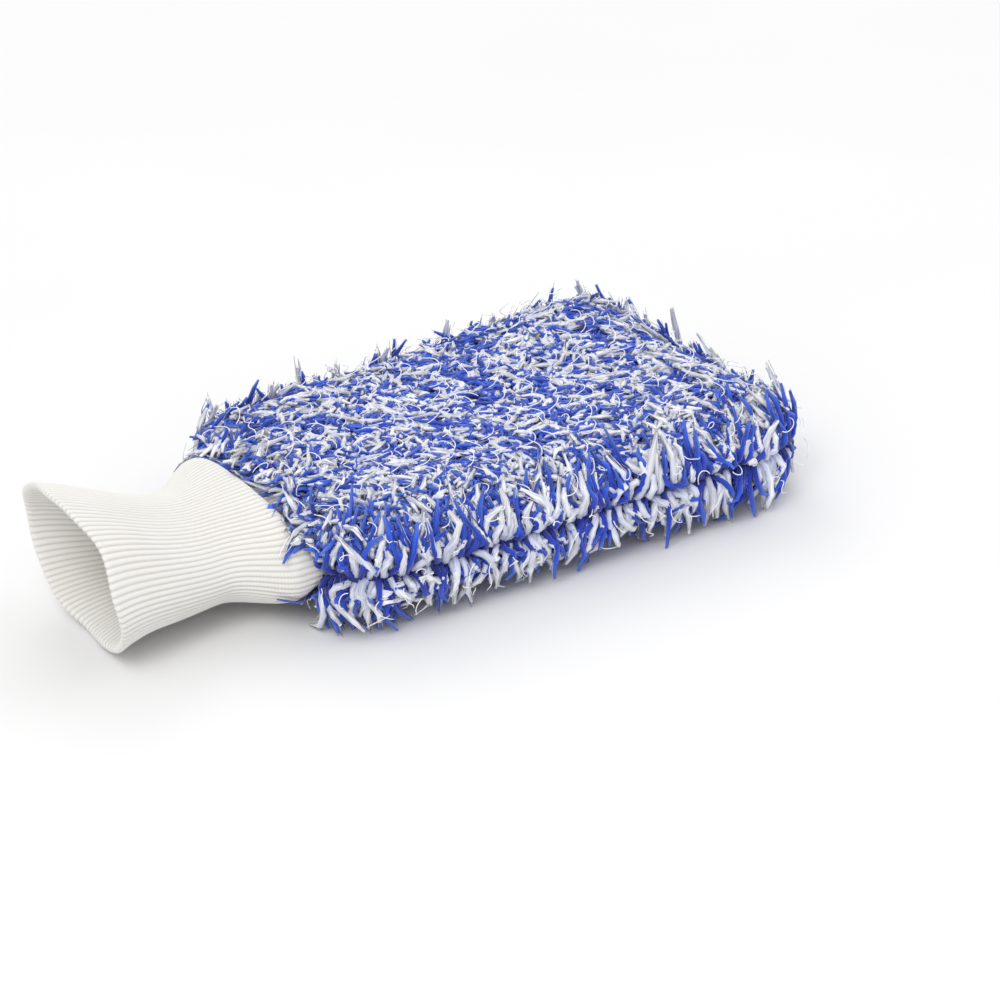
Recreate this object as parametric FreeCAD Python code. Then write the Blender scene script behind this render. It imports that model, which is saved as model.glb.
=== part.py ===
"""A wash mitt: a two-panel pile body with a padded, lined hand pocket and a doubled rib-knit cuff.

Millimetres. +Z up, +X towards the fingertips, origin in the middle of the face that the body rests on.
"""

import FreeCAD, Part
import math
import os

Vector = FreeCAD.Vector

# Body, over the tips of the pile.
body_length = 250.0
body_width = 200.0
neck_end_width = 180.0
body_height = 56.0
corner_radius = 38.0
flat_side_band = 4.0

# Layers of each panel, from the outside in.
pile_depth = 11.5
backing_thickness = 1.0
foam_thickness = 4.0
lining_thickness = 0.8

# Side seam: the three cloths of both panels turn inwards and are overlocked together.
seam_allowance = 6.0
pressed_foam = 0.8
overlock_radius = 3.2
overlock_pitch = 6.5
thread_radius = 0.25

# Knit cuff, a tube folded double at the mouth. Widths and heights are over the outside of the knit.
cuff_length = 76.0
waist_distance = 24.0
root_width = 112.0
root_squareness = 2.8
swell_distance = 3.0
swell_height = 50.0
swell_squareness = 2.3
waist_width = 78.0
waist_height = 43.0
mouth_width = 102.0
mouth_height = 71.0
mouth_tilt = 5.0
mouth_clearance = 0.9
flare_power = 1.5
ply_thickness = 1.4
ply_gap = 0.6
fold_depth = 1.6
knit_inside = 2.0
joined_plies = 6.0
join_loop_margin = 0.6

# Gaps.
sewn_gap = 0.1
split_gap = 0.3

# Worked out from the sizes above.
middle_z = body_height / 2
edge_round = middle_z - flat_side_band / 2
backing_outside = pile_depth
foam_outside = backing_outside + backing_thickness
lining_outside = foam_outside + foam_thickness
pocket_wall = lining_outside + lining_thickness
lip_end = pocket_wall + seam_allowance
knit_thickness = 2 * ply_thickness + ply_gap
loop_clearance = backing_thickness + join_loop_margin + 2 * thread_radius + sewn_gap
root_height = 2 * (middle_z - foam_outside - sewn_gap)
neck_x = -body_length / 2
root_x = neck_x + pocket_wall + knit_inside
seat_x = neck_x + backing_outside
swell_x = neck_x - swell_distance
waist_x = neck_x - waist_distance
mouth_x = neck_x - cuff_length
mouth_z = mouth_height / 2 * math.cos(math.radians(mouth_tilt)) + mouth_clearance

section_points = 28
loft_steps = 5
passage_overrun = 1.0
level_tolerance = 0.001
parts_folder = "parts"


def rounded_plan(inset, z):
    """The body's outline seen from above, moved in by inset, as a face at height z."""
    centre_x = body_length / 2 - corner_radius
    tip_y = body_width / 2 - corner_radius
    neck_y = neck_end_width / 2 - corner_radius
    lean = math.degrees(math.atan2(tip_y - neck_y, 2 * centre_x))
    corners = [
        (centre_x, tip_y, 0, 90 + lean),
        (-centre_x, neck_y, 90 + lean, 180),
        (-centre_x, -neck_y, 180, 270 - lean),
        (centre_x, -tip_y, 270 - lean, 360),
    ]
    arcs = []
    for x, y, start, end in corners:
        circle = Part.Circle(Vector(x, y, z), Vector(0, 0, 1), corner_radius - inset)
        arcs.append(circle.toShape(math.radians(start), math.radians(end)))
    edges = []
    for arc, following in zip(arcs, arcs[1:] + arcs[:1]):
        edges.append(arc)
        edges.append(Part.makeLine(arc.lastVertex().Point, following.firstVertex().Point))
    return Part.Face(Part.Wire(edges))


def body_form(inset):
    """The padded body's form, moved in by inset all round: a rounded plan with rounded edges."""
    bar = rounded_plan(inset, inset).extrude(Vector(0, 0, body_height - 2 * inset))
    rims = [edge for edge in bar.Edges if edge.BoundBox.ZLength < level_tolerance]
    return bar.makeFillet(edge_round - inset, rims)


def under_seam(start):
    """A block wider than the mitt, from start below the seam down past the lower pile."""
    reach = body_length + body_width + cuff_length
    corner = Vector(-reach, -reach, middle_z - start - body_height)
    return Part.makeBox(2 * reach, 2 * reach, body_height, corner)


def smooth(t):
    t = min(max(t, 0.0), 1.0)
    return t * t * (3 - 2 * t)


def knit_section(x):
    """(half width, half height, squareness, centre height, tilt) of the knit tube at x."""
    if x >= swell_x:
        share = smooth((seat_x - x) / (seat_x - swell_x))
        height = root_height + (swell_height - root_height) * share
        squareness = root_squareness + (swell_squareness - root_squareness) * share
        return root_width / 2, height / 2, squareness, middle_z, 0.0
    if x >= waist_x:
        share = smooth((swell_x - x) / (swell_x - waist_x))
        width = root_width + (waist_width - root_width) * share
        height = swell_height + (waist_height - swell_height) * share
        squareness = swell_squareness + (2 - swell_squareness) * share
        return width / 2, height / 2, squareness, middle_z, 0.0
    share = (waist_x - x) / (waist_x - mouth_x)
    flare = share**flare_power
    width = waist_width + (mouth_width - waist_width) * flare
    height = waist_height + (mouth_height - waist_height) * flare
    centre = middle_z + (mouth_z - middle_z) * smooth(share)
    return width / 2, height / 2, 2.0, centre, math.radians(mouth_tilt) * smooth(share)


def rounded_power(value, power):
    return math.copysign(abs(value) ** power, value)


def knit_point(x, angle, inset):
    """A point on the knit tube's section at x, moved in from the outside by inset."""
    half_width, half_height, squareness, centre, tilt = knit_section(x)
    across = (half_width - inset) * rounded_power(math.cos(angle), 2 / squareness)
    up = (half_height - inset) * rounded_power(math.sin(angle), 2 / squareness)
    return Vector(x - up * math.sin(tilt), across, centre + up * math.cos(tilt))


def knit_wire(x, inset):
    points = []
    for index in range(section_points):
        points.append(knit_point(x, 2 * math.pi * index / section_points, inset))
    curve = Part.BSplineCurve()
    curve.interpolate(Points=points, PeriodicFlag=True)
    return Part.Wire(curve.toShape())


def knit_form(from_x, to_x, inset):
    """The solid inside the knit tube's surface at inset, from from_x out to to_x."""
    bends = [x for x in (seat_x, swell_x, waist_x) if to_x < x < from_x]
    ends = [from_x, *bends, to_x]
    form = None
    for near, far in zip(ends, ends[1:]):
        if near > seat_x:
            stretch = Part.Face(knit_wire(near, inset)).extrude(Vector(far - near, 0, 0))
        else:
            stations = [near + (far - near) * step / loft_steps for step in range(loft_steps + 1)]
            stretch = Part.makeLoft([knit_wire(x, inset) for x in stations], True, False)
        form = form.fuse(stretch) if form else stretch
    return form


def passage(clearance):
    """What the knit takes out of the body's end, with a clearance round it."""
    return knit_form(neck_x + lip_end + passage_overrun, neck_x - passage_overrun, -clearance)


def panel_layer(outside, inside, seam_start, seam_thickness):
    """One layer of the lower panel: a half shell with a lip turned in along the side seam."""
    shell = body_form(outside).cut(body_form(inside)).common(under_seam(seam_start))
    lip_z = middle_z - seam_start - seam_thickness
    lip = rounded_plan(inside - sewn_gap / 2, lip_z).extrude(Vector(0, 0, seam_thickness))
    pocket = rounded_plan(lip_end, lip_z).extrude(Vector(0, 0, seam_thickness))
    return shell.fuse(lip.cut(pocket)).removeSplitter()


def pile():
    shell = body_form(0).cut(body_form(backing_outside)).common(under_seam(0))
    return shell.cut(passage(sewn_gap))


def backing_cloth():
    """The pile's backing cloth, with its neck edge turned in along the knit."""
    cloth = panel_layer(backing_outside, foam_outside, 0, backing_thickness)
    wall_middle = neck_x + backing_outside + backing_thickness / 2
    sleeve = knit_form(root_x, wall_middle, -sewn_gap - backing_thickness)
    sleeve = sleeve.cut(knit_form(root_x, wall_middle, -sewn_gap))
    sleeve = sleeve.common(under_seam(0)).common(body_form(backing_outside))
    return cloth.cut(passage(sewn_gap)).fuse(sleeve).removeSplitter()


def foam_sheet():
    sheet = panel_layer(foam_outside, lining_outside, backing_thickness, pressed_foam)
    return sheet.cut(passage(loop_clearance))


def lining():
    cloth = panel_layer(lining_outside, pocket_wall, backing_thickness + pressed_foam, lining_thickness)
    return cloth.cut(passage(loop_clearance))


def knit_tube(from_x, to_x, joined, folded):
    """Two plies of knit from from_x to to_x, sewn flat together where joined and folded over where folded."""
    gap_start = from_x - joined_plies if joined else from_x
    gap_end = to_x + fold_depth if folded else to_x
    outer = knit_form(gap_start, gap_end, ply_thickness)
    inner = knit_form(gap_start, gap_end, ply_thickness + ply_gap)
    tube = knit_form(from_x, to_x, 0).cut(knit_form(from_x, to_x, knit_thickness))
    return tube.cut(outer.cut(inner))


def side_seam_thread():
    """Overlock loops round the turned-in edges of both panels, from one side of the neck to the other."""
    outline = rounded_plan(lip_end - seam_allowance / 2, middle_z).OuterWire
    count = round(outline.Length / overlock_pitch)
    points = outline.discretize(Number=count + 1)[:-1]
    neck_half = root_width / 2 + 2 * overlock_radius
    loops = []
    for index, point in enumerate(points):
        if point.x < root_x + seam_allowance and abs(point.y) < neck_half:
            continue
        along = points[(index + 1) % count].sub(points[index - 1])
        loops.append(Part.makeTorus(overlock_radius, thread_radius, point, along))
    return Part.makeCompound(loops)


def cuff_join_thread():
    """Overlock loops round the knit's inner end and the backing's turned-in neck edge."""
    radius = (knit_thickness + backing_thickness) / 2 + join_loop_margin
    inset = (knit_thickness - backing_thickness) / 2
    x = root_x + 2 * join_loop_margin - radius
    ring = knit_wire(x, inset)
    count = round(ring.Length / overlock_pitch)
    points = ring.discretize(Number=count + 1)[:-1]
    loops = []
    for index, point in enumerate(points):
        along = points[(index + 1) % count].sub(points[index - 1])
        loops.append(Part.makeTorus(radius, thread_radius, point, along))
    return Part.makeCompound(loops)


def save(name, shape):
    if not shape.isValid():
        print("NOT VALID:", name)
    volume = sum(solid.Volume for solid in shape.Solids)
    print(f"{name}: {len(shape.Solids)} solids, {volume / 1000:.2f} cm3")
    shape.exportStep(f"{parts_folder}/{name}.step")


os.makedirs(parts_folder, exist_ok=True)
for name, layer in (
    ("pile", pile()),
    ("backing_cloth", backing_cloth()),
    ("foam_sheet", foam_sheet()),
    ("lining", lining()),
):
    save(f"bottom_{name}", layer)
    save(f"top_{name}", layer.mirror(Vector(0, 0, middle_z), Vector(0, 0, 1)))
save("side_seam_thread", side_seam_thread())
save("cuff_join_thread", cuff_join_thread())
save("knit_neck", knit_tube(root_x, waist_x, True, False))
save("knit_cuff", knit_tube(waist_x - split_gap, mouth_x, False, True))
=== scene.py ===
import bpy
import bmesh
import math
import numpy as np
from mathutils import Matrix, Vector, noise


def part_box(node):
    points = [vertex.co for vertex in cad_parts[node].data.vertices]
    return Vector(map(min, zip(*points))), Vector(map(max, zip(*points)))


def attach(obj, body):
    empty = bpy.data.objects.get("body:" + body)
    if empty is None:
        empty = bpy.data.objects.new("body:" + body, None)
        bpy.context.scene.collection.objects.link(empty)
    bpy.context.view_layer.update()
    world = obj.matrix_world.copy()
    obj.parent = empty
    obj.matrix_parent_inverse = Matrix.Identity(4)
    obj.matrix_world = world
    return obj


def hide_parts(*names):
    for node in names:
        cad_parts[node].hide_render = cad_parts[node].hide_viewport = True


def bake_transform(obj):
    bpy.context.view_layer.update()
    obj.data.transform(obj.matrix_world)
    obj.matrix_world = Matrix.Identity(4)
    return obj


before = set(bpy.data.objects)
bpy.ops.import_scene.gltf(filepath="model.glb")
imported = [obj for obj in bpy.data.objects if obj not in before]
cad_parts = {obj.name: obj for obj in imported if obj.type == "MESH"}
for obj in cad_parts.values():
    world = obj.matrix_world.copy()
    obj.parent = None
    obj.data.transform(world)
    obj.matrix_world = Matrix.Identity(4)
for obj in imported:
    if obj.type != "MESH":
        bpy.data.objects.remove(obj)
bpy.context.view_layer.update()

scene = bpy.context.scene


def put(tree, kind, inputs=None, **settings):
    node = tree.nodes.new(kind)
    for name, value in settings.items():
        setattr(node, name, value)
    for key, value in (inputs or {}).items():
        if isinstance(value, bpy.types.NodeSocket):
            tree.links.new(value, node.inputs[key])
        else:
            node.inputs[key].default_value = value
    return node


def sums(tree, operation, *values):
    return put(tree, "ShaderNodeMath", dict(enumerate(values)), operation=operation).outputs[0]


def times(tree, product, *others):
    for value in others:
        product = sums(tree, "MULTIPLY", product, value)
    return product


def arrows(tree, operation, *values):
    node = put(tree, "ShaderNodeVectorMath", dict(enumerate(values)), operation=operation)
    return node.outputs["Value" if operation in ("DOT_PRODUCT", "LENGTH") else "Vector"]


def stretched(tree, vector, factor):
    return put(tree, "ShaderNodeVectorMath", {0: vector, "Scale": factor}, operation="SCALE").outputs[0]


def pointwise(tree, geometry, name, value, kind="FLOAT", domain="POINT"):
    node = put(tree, "GeometryNodeStoreNamedAttribute", {"Geometry": geometry, "Name": name},
               data_type=kind, domain=domain)
    tree.links.new(value, node.inputs["Value"])
    return node.outputs[0]


def stored(tree, name, kind="FLOAT"):
    return put(tree, "GeometryNodeInputNamedAttribute", {"Name": name}, data_type=kind).outputs[0]


def meshPiece(name, points, faces, smooth=True, edges=()):
    mesh = bpy.data.meshes.new(name)
    mesh.from_pydata(points, edges, faces)
    mesh.validate()
    piece = bpy.data.objects.new(name, mesh)
    scene.collection.objects.link(piece)
    for polygon in mesh.polygons:
        polygon.use_smooth = smooth
    return piece


def settled(piece, name):  # the piece as its modifiers leave it, as a plain mesh
    bpy.context.view_layer.update()
    seen = piece.evaluated_get(bpy.context.evaluated_depsgraph_get())
    mesh = bpy.data.meshes.new_from_object(seen)
    mesh.name = name
    result = bpy.data.objects.new(name, mesh)
    scene.collection.objects.link(result)
    return result


def dropped(piece):
    mesh = piece.data
    bpy.data.objects.remove(piece)
    bpy.data.meshes.remove(mesh)


def places(piece):
    co = np.empty(len(piece.data.vertices) * 3)
    piece.data.vertices.foreach_get("co", co)
    return co.reshape(-1, 3)


def setPlaces(piece, co):
    piece.data.vertices.foreach_set("co", co.ravel())
    piece.data.update()


def newTree(name, inputs):  # a Geometry Nodes tree with named inputs; returns it with its input node
    tree = bpy.data.node_groups.new(name, "GeometryNodeTree")
    tree.interface.new_socket("Geometry", in_out="INPUT", socket_type="NodeSocketGeometry")
    tree.interface.new_socket("Geometry", in_out="OUTPUT", socket_type="NodeSocketGeometry")
    for label, kind in inputs.items():
        tree.interface.new_socket(label, in_out="INPUT", socket_type="NodeSocket" + kind)
    return tree, tree.nodes.new("NodeGroupInput").outputs


def runTree(piece, tree, values):  # hangs the tree on the piece with these values
    modifier = piece.modifiers.new(tree.name, "NODES")
    modifier.node_group = tree
    for item in tree.interface.items_tree:
        if item.name in values:
            modifier[item.identifier] = values[item.name]
    return modifier


def newMaterial(name, **constants):
    material = bpy.data.materials.new(name)
    material.use_nodes = True
    tree = material.node_tree
    shader = tree.nodes["Principled BSDF"]
    for socket, value in constants.items():
        shader.inputs[socket].default_value = value
    return material, tree, shader


def ramp(tree, factor, stops):
    node = put(tree, "ShaderNodeValToRGB", {"Fac": factor})
    bar = node.color_ramp
    while len(bar.elements) < len(stops):
        bar.elements.new(0.5)
    for element, (place, colour) in zip(bar.elements, stops):
        element.position = place
        element.color = (*colour, 1)
    return node.outputs["Color"]


def mixed(tree, factor, first, second, blendType="MIX"):
    node = put(tree, "ShaderNodeMix", data_type="RGBA", blend_type=blendType)
    for key, value in ((0, factor), (6, first), (7, second)):
        if isinstance(value, bpy.types.NodeSocket):
            tree.links.new(value, node.inputs[key])
        else:
            node.inputs[key].default_value = value
    return node.outputs[2]


pileDyeAndPaintedLight = {
    "columns": 64,  # strand colours kept side by side along the map's width, blue ones first
    # the blue and white ramps run from a strand's root to its tip: darker at the root for painted shade deep
    # in the pile, lighter at the tip for painted light on and through the fibre tips
    "blue": [(0.0, (0.006, 0.016, 0.2)), (0.3, (0.013, 0.045, 0.46)), (0.7, (0.028, 0.1, 0.68)),
             (1.0, (0.1, 0.22, 0.82))],
    "white": [(0.0, (0.55, 0.59, 0.78)), (0.35, (0.82, 0.84, 0.93)), (0.7, (0.93, 0.935, 0.97)),
              (1.0, (0.97, 0.97, 0.985))],
    "wisp": [(0.0, (0.9, 0.91, 0.95)), (1.0, (0.98, 0.98, 0.98))],
    "streaks": (560.0, 2.5, 1.0),  # fibres round and along a lock
    "streakDepth": 0.75,
}


def strandMaterial():
    material, tree, shader = newMaterial("twistedMicrofibre", **{
        "Roughness": 0.62, "Sheen Weight": 0.35, "Sheen Roughness": 0.45, "Specular IOR Level": 0.3})
    uv = put(tree, "ShaderNodeUVMap", uv_map="OFBake").outputs[0]
    split = put(tree, "ShaderNodeSeparateXYZ", {0: uv})
    column = sums(tree, "FLOOR", times(tree, split.outputs[0], pileDyeAndPaintedLight["columns"]))
    shade = put(tree, "ShaderNodeTexWhiteNoise", {"W": column}, noise_dimensions="1D")
    # the dye ramps along the strand carry painted shade at the root and painted light at the tip
    blue = ramp(tree, split.outputs[1], pileDyeAndPaintedLight["blue"])
    white = ramp(tree, split.outputs[1], pileDyeAndPaintedLight["white"])
    isWhite = sums(tree, "GREATER_THAN", split.outputs[0], 0.5)
    dyedWithPaintedLight = mixed(tree, isWhite, blue, white)
    lighter = sums(tree, "MULTIPLY_ADD", shade.outputs["Value"], 0.3, 0.84)
    grey = put(tree, "ShaderNodeCombineColor", {0: lighter, 1: lighter, 2: lighter}).outputs[0]
    varied = mixed(tree, 1.0, dyedWithPaintedLight, grey, "MULTIPLY")
    filament = put(tree, "ShaderNodeTexNoise", {
        "Vector": arrows(tree, "MULTIPLY", uv, pileDyeAndPaintedLight["streaks"]), "Scale": 1.0, "Detail": 1.0})
    streak = ramp(tree, filament.outputs["Fac"], [(0.3, (0.5, 0.54, 0.68)), (0.58, (1.0, 1.0, 1.0))])
    streaked = mixed(tree, pileDyeAndPaintedLight["streakDepth"], varied, streak, "MULTIPLY")
    tree.links.new(streaked, shader.inputs["Base Color"])
    bump = put(tree, "ShaderNodeBump", {"Height": filament.outputs["Fac"], "Strength": 0.9,
                                        "Distance": 0.0004})
    tree.links.new(bump.outputs[0], shader.inputs["Normal"])
    return material


def wispMaterial():
    material, tree, shader = newMaterial("looseThread", **{
        "Roughness": 0.5, "Sheen Weight": 0.3, "Sheen Roughness": 0.4})
    uv = put(tree, "ShaderNodeUVMap", uv_map="OFBake").outputs[0]
    split = put(tree, "ShaderNodeSeparateXYZ", {0: uv})
    tree.links.new(ramp(tree, split.outputs[1], pileDyeAndPaintedLight["wisp"]), shader.inputs["Base Color"])
    return material


def clothMaterial(name, light, dark, weavePitch, sheen=0.2, bumpDepth=0.0002):
    material, tree, shader = newMaterial(name, **{
        "Roughness": 0.85, "Sheen Weight": sheen, "Sheen Roughness": 0.5, "Specular IOR Level": 0.25})
    place = put(tree, "ShaderNodeTexCoord").outputs["Object"]
    wide = 2 * math.pi / weavePitch / 20  # the wave texture turns 20 radians per unit
    warp = put(tree, "ShaderNodeTexWave", {"Vector": place, "Scale": wide, "Distortion": 0.6},
               bands_direction="X")
    weft = put(tree, "ShaderNodeTexWave", {"Vector": place, "Scale": wide, "Distortion": 0.6},
               bands_direction="Y")
    woven = times(tree, warp.outputs["Fac"], weft.outputs["Fac"])
    cloud = put(tree, "ShaderNodeTexNoise", {"Vector": place, "Scale": 90.0, "Detail": 3.0})
    blended = sums(tree, "MULTIPLY_ADD", cloud.outputs["Fac"], 0.5, times(tree, woven, 0.5))
    tree.links.new(ramp(tree, blended, [(0.2, dark), (0.75, light)]), shader.inputs["Base Color"])
    bump = put(tree, "ShaderNodeBump", {"Height": woven, "Strength": 0.4, "Distance": bumpDepth})
    tree.links.new(bump.outputs[0], shader.inputs["Normal"])
    return material


def threadMaterial():
    material, tree, shader = newMaterial("spunThread", **{
        "Roughness": 0.6, "Sheen Weight": 0.3, "Sheen Roughness": 0.4})
    place = put(tree, "ShaderNodeTexCoord").outputs["Object"]
    twist = put(tree, "ShaderNodeTexNoise", {"Vector": place, "Scale": 1400.0, "Detail": 2.0})
    tree.links.new(ramp(tree, twist.outputs["Fac"], [(0.3, (0.6, 0.6, 0.63)), (0.7, (0.88, 0.88, 0.88))]),
                   shader.inputs["Base Color"])
    bump = put(tree, "ShaderNodeBump", {
        "Height": twist.outputs["Fac"], "Strength": 0.5, "Distance": 0.0001})
    tree.links.new(bump.outputs[0], shader.inputs["Normal"])
    return material


pileLow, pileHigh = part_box("bottom_pile")[0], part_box("top_pile")[1]
backLow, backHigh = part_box("bottom_backing_cloth")[0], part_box("top_backing_cloth")[1]
neckLow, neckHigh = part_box("knit_neck")
cuffLow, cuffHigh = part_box("knit_cuff")
middleZ = (pileLow.z + pileHigh.z) / 2
bodyEnd = -pileHigh.x

knit = {
    "ribs": 88,
    "pointsPerRib": 8,
    "outerRows": 66,
    "foldRows": 7,
    "innerRows": 40,
    "ribDepth": 0.00055,
    "innerRibDepth": 0.0003,
    "wander": 0.35,  # how far a rib strays sideways, in ribs
    "rimWave": 0.0011,
    "floorGap": 0.0002,  # the rim stays this far above the floor
    "thickness": 0.0034,
    "coursePitch": 0.0011,  # one row of stitches to the next
    "rootX": neckHigh.x,
    "seatX": backLow.x,
    "swellX": bodyEnd + 0.002,
    "waistX": neckLow.x,
    "mouthX": bodyEnd - 0.076,
    "rootWidth": neckHigh.y - neckLow.y,
    "rootHeight": 0.026,
    "swellHeight": 0.0475,
    "waistWidth": 0.078,
    "waistHeight": 0.043,
    "mouthWidth": cuffHigh.y - cuffLow.y,
    "mouthHeight": 0.071,
    "mouthZ": (cuffHigh.z + cuffLow.z) / 2,
    "mouthTilt": math.radians(5.0),
    "flarePower": 1.5,
    "bendReach": 0.014,  # how far either side of the waist the knit would give when the cuff bends; this script doesn't bend it
}


def eased(t):
    t = np.clip(t, 0, 1)
    return t * t * (3 - 2 * t)


def knitSection(x):
    k = knit
    x = np.asarray(x, float)
    swell = eased((k["seatX"] - x) / (k["seatX"] - k["swellX"]))
    narrow = eased((k["swellX"] - x) / (k["swellX"] - k["waistX"]))
    beyond = np.clip((k["waistX"] - x) / (k["waistX"] - k["mouthX"]), 0, 1)
    flare = beyond ** k["flarePower"]
    width = k["rootWidth"] + (k["waistWidth"] - k["rootWidth"]) * narrow
    width = width + (k["mouthWidth"] - k["waistWidth"]) * flare
    height = k["rootHeight"] + (k["swellHeight"] - k["rootHeight"]) * swell
    height = height + (k["waistHeight"] - k["swellHeight"]) * narrow
    height = height + (k["mouthHeight"] - k["waistHeight"]) * flare
    squareness = 2.8 - 0.5 * swell - 0.3 * narrow
    centre = middleZ + (k["mouthZ"] - middleZ) * eased(beyond)
    return width / 2, height / 2, squareness, centre, k["mouthTilt"] * eased(beyond)


def knitRing(x, inset, columns):
    halfWidth, halfHeight, squareness, centre, tilt = (float(v) for v in knitSection(x))
    turn = np.linspace(0, 2 * math.pi, 1441)
    cosine, sine = np.cos(turn), np.sin(turn)
    across = (halfWidth - inset) * np.sign(cosine) * np.abs(cosine) ** (2 / squareness)
    up = (halfHeight - inset) * np.sign(sine) * np.abs(sine) ** (2 / squareness)
    run = np.concatenate([[0], np.cumsum(np.hypot(np.diff(across), np.diff(up)))])
    wanted = np.linspace(0, run[-1], columns, endpoint=False)
    across, up = np.interp(wanted, run, across), np.interp(wanted, run, up)
    return np.stack([x - up * math.sin(tilt), across, centre + up * math.cos(tilt)], axis=1)


def knitTube():
    k = knit
    columns = k["ribs"] * k["pointsPerRib"]
    half = k["thickness"] / 2
    stations = []  # x, inset and rib depth of each row of points
    length = k["rootX"] - k["mouthX"] - half
    for row in range(k["outerRows"]):
        stations.append((k["rootX"] - length * row / (k["outerRows"] - 1), 0.0, k["ribDepth"]))
    for row in range(1, k["foldRows"] + 1):
        turn = math.pi * row / (k["foldRows"] + 1)
        depth = k["ribDepth"] + (k["innerRibDepth"] - k["ribDepth"]) * row / k["foldRows"]
        stations.append((k["mouthX"] + half - half * math.sin(turn), half - half * math.cos(turn), depth))
    for row in range(k["innerRows"]):
        x = k["mouthX"] + half + length * row / (k["innerRows"] - 1)
        stations.append((x, k["thickness"], k["innerRibDepth"]))
    rings = [knitRing(x, inset, columns) for x, inset, depth in stations]
    for ring, (x, inset, depth) in zip(rings, stations):
        out = float(eased((k["waistX"] - x) / (k["waistX"] - k["mouthX"])))
        for index in range(columns):  # the soft tube isn't quite round, and its rim waves a little
            turn = 2 * math.pi * index / columns
            swing = math.sin(3 * turn + 0.7) + 0.6 * math.sin(5 * turn + 2.1) + 0.3 * math.sin(8 * turn)
            radial = Vector((0, ring[index][1], ring[index][2] - middleZ)).normalized()
            bulge = noise.noise(Vector((x * 40, math.cos(turn) * 1.6, math.sin(turn) * 1.6)))
            shift = radial * (k["rimWave"] * (0.7 * out * swing * 0.5 + bulge * 0.9))
            ring[index] += np.array(shift)
            ring[index][0] += k["rimWave"] * out * out * swing
    points = np.concatenate(rings)
    faces = []
    rows = len(rings)
    for row in range(rows):
        near, far = row * columns, (row + 1) % rows * columns
        for index in range(columns):
            following = (index + 1) % columns
            faces.append((near + index, far + index, far + following, near + following))
    tube = meshPiece("ribKnitTube", points.tolist(), faces)
    mesh = tube.data
    uv = mesh.uv_layers.new(name="OFBake").data
    travelled = np.concatenate([[0], np.cumsum([
        math.dist((a[0], a[1]), (b[0], b[1])) for a, b in zip(stations, stations[1:])])])
    total = travelled[-1] + k["thickness"]
    heights = np.append(travelled, total) / total
    values = np.empty((len(mesh.loops), 2))
    corner = 0
    for row in range(rows):
        for index in range(columns):
            left, right = index / columns, (index + 1) / columns
            low, high = heights[row], heights[row + 1]
            values[corner:corner + 4] = ((left, low), (left, high), (right, high), (right, low))
            corner += 4
    uv.foreach_set("uv", values.ravel())
    around = np.tile(np.arange(columns) / columns, rows)
    depths = np.repeat([depth for x, inset, depth in stations], columns)
    xs = np.array([x for x, inset, depth in stations])
    rooted = np.repeat(eased((xs - k["waistX"]) / (k["rootX"] - k["waistX"])), columns)
    for name, value in (("around", around), ("ribDepth", depths), ("rooted", rooted)):
        mesh.attributes.new(name, "FLOAT", "POINT").data.foreach_set("value", value.astype(np.float32))
    return tube, total


def ribTree():
    tree, given = newTree("knitRibs", {"Ribs": "Float", "Wander": "Float", "Material": "Material"})
    place = put(tree, "GeometryNodeInputPosition").outputs[0]
    drift = put(tree, "ShaderNodeTexNoise", {"Vector": place, "Scale": 26.0, "Detail": 1.0}).outputs["Fac"]
    freer = sums(tree, "MULTIPLY_ADD", stored(tree, "rooted"), 4.0, 1.0)
    stray = times(tree, sums(tree, "SUBTRACT", drift, 0.5), given["Wander"], freer)
    count = sums(tree, "MULTIPLY_ADD", stored(tree, "around"), given["Ribs"], stray)
    wave = sums(tree, "COSINE", times(tree, count, 2 * math.pi))
    crest = sums(tree, "POWER", sums(tree, "MULTIPLY_ADD", wave, 0.5, 0.5), 0.6)  # broad rib, narrow furrow
    height = times(tree, sums(tree, "SUBTRACT", crest, 0.65), stored(tree, "ribDepth"))
    outward = put(tree, "GeometryNodeInputNormal").outputs[0]
    moved = put(tree, "GeometryNodeSetPosition", {
        "Geometry": given["Geometry"], "Offset": stretched(tree, outward, height)}).outputs[0]
    marked = pointwise(tree, moved, "crest", crest)
    whole = put(tree, "GeometryNodeRealizeInstances", {"Geometry": marked}).outputs[0]
    dressed = put(tree, "GeometryNodeSetMaterial", {"Geometry": whole, "Material": given["Material"]})
    put(tree, "NodeGroupOutput", {0: dressed.outputs[0]})
    return tree


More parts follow.
